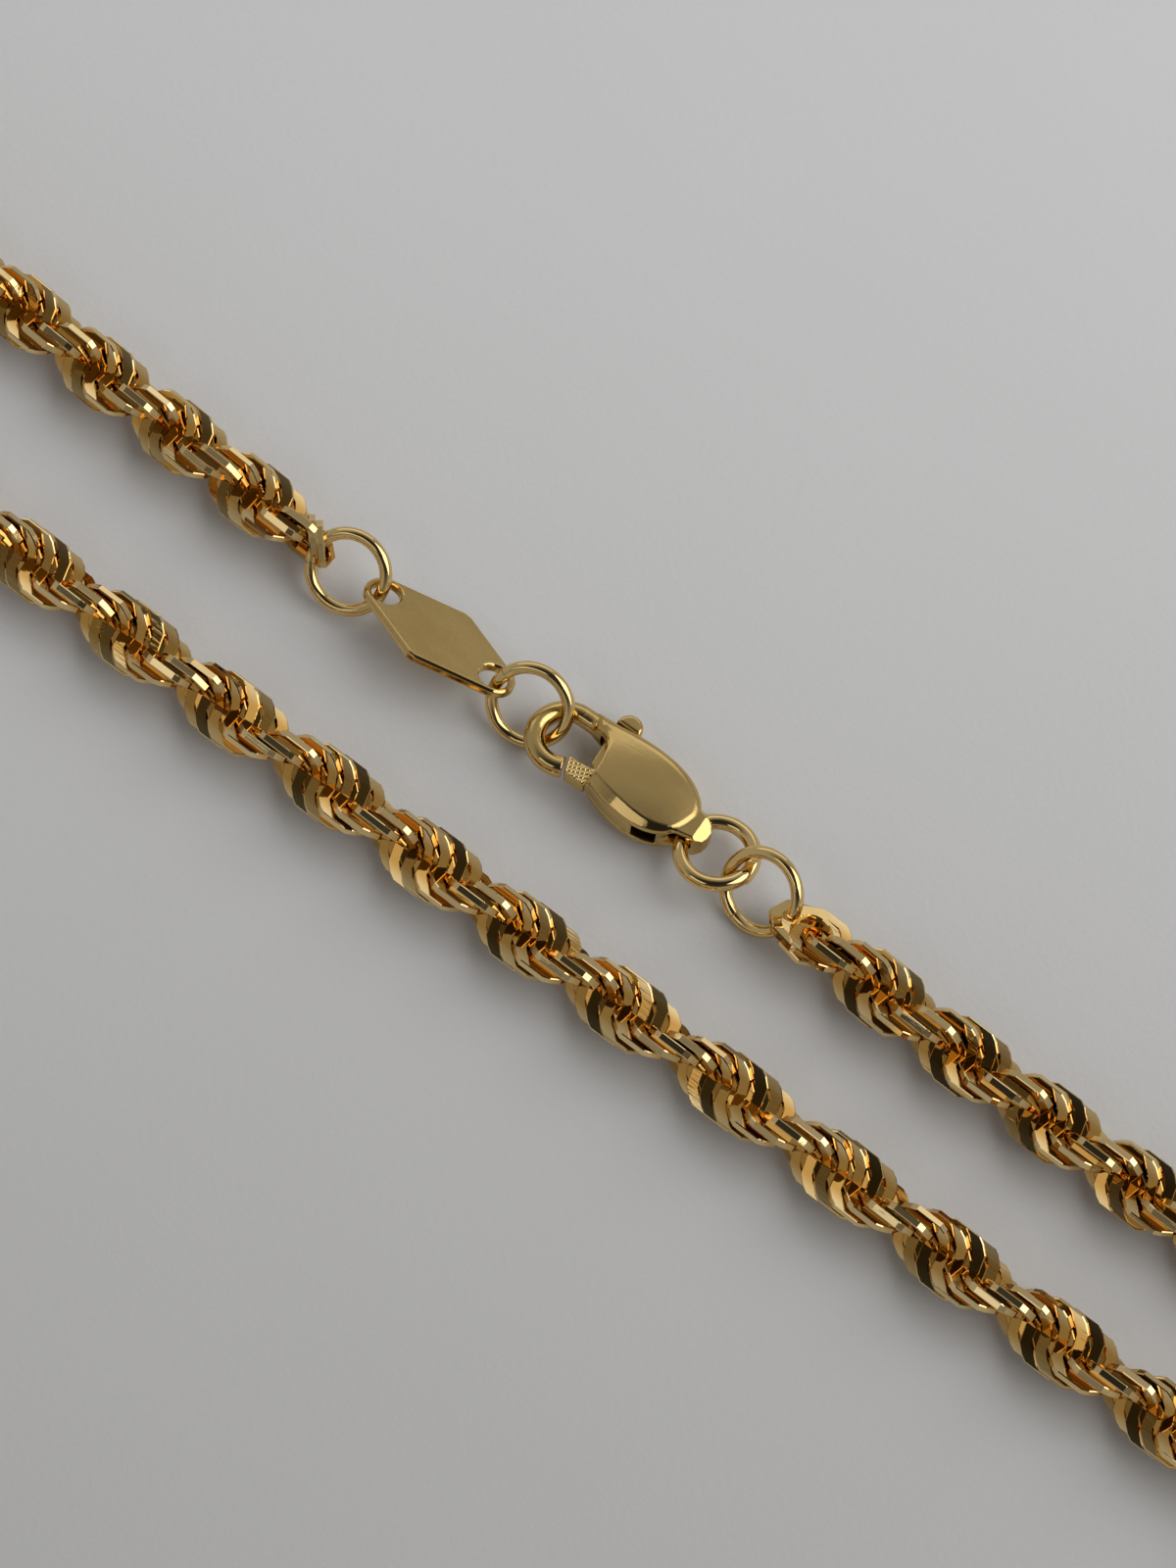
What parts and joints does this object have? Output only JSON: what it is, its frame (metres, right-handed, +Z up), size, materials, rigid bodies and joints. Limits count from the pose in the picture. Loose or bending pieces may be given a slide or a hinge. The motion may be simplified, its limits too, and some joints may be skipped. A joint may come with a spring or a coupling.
{
  "type": "rope chain necklace",
  "caption": "Solid rope chain necklace lying closed, with a lobster clasp whose lever opens, jump rings and a plain lozenge tag.",
  "frame": {"origin": "on the resting surface, under the middle of the necklace's box", "axes": "+X along the two strands towards the end past the clasp's tail, +Y towards the strand with the clasp, +Z up"},
  "size_m": [0.2442, 0.0258, 0.0041],
  "materials": {
    "gold_cut": "diamond-cut facets, polished",
    "gold_polished": "polished",
    "gold_satin": "satin"
  },
  "bodies": {
    "necklace": {"rope_chain": "gold_cut", "end_link_tag_side": "gold_cut", "end_link_clasp_side": "gold_cut", "jump_ring_1": "gold_polished", "jump_ring_2": "gold_polished", "jump_ring_3": "gold_polished", "tail_ring": "gold_polished", "tag": "gold_satin", "clasp_body": "gold_satin", "clasp_pin": "gold_polished"},
    "lever": {"clasp_lever": "gold_satin"}
  },
  "joints": [
    {"name": "lever_hinge", "type": "hinge", "parent": "necklace", "child": "lever", "pos_m": [0.00112, 0.00485, 0.00154], "axis": [0.0058, -0.1391, -0.9903], "range_deg": [0, 25], "stiffness_Nm_per_rad": 0.001, "springref_deg": -17.19}
  ]
}
